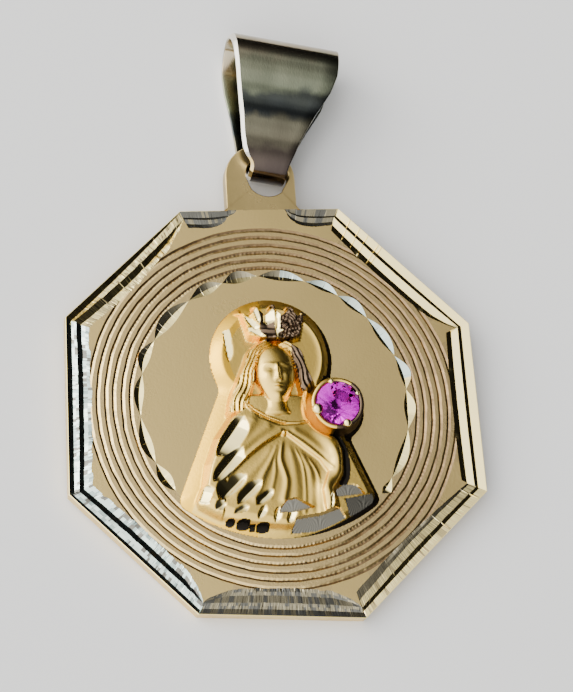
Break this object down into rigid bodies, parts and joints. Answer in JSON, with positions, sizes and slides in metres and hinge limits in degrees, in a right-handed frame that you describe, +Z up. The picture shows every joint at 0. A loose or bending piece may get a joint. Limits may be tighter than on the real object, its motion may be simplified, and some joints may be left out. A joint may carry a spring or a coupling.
{
  "type": "religious medal pendant",
  "caption": "Eight-sided gold medal with engraved rings, a raised crowned bust, a set round stone and a flared folded bail.",
  "frame": {"origin": "middle of the pendant's outline, on the surface that it lies on", "axes": "+Z up from the surface, +Y from the medal's foot towards the bail, +X to the figure's left"},
  "size_m": [0.022, 0.0328, 0.0032],
  "materials": {
    "medal_gold": "satin yellow gold with bright-cut facets and engraved lines",
    "bail_gold": "polished yellow gold with fine wear",
    "gem": "faceted and polished"
  },
  "bodies": {
    "medal": {"medal": "medal_gold", "stone": "gem"},
    "bail": {"bail": "bail_gold"}
  },
  "joints": [
    {"name": "bail_swing", "type": "hinge", "parent": "medal", "child": "bail", "pos_m": [0.00057, 0.00902, 0.00131], "axis": [0.9863, -0.165, 0], "range_deg": [-28, 28]}
  ]
}
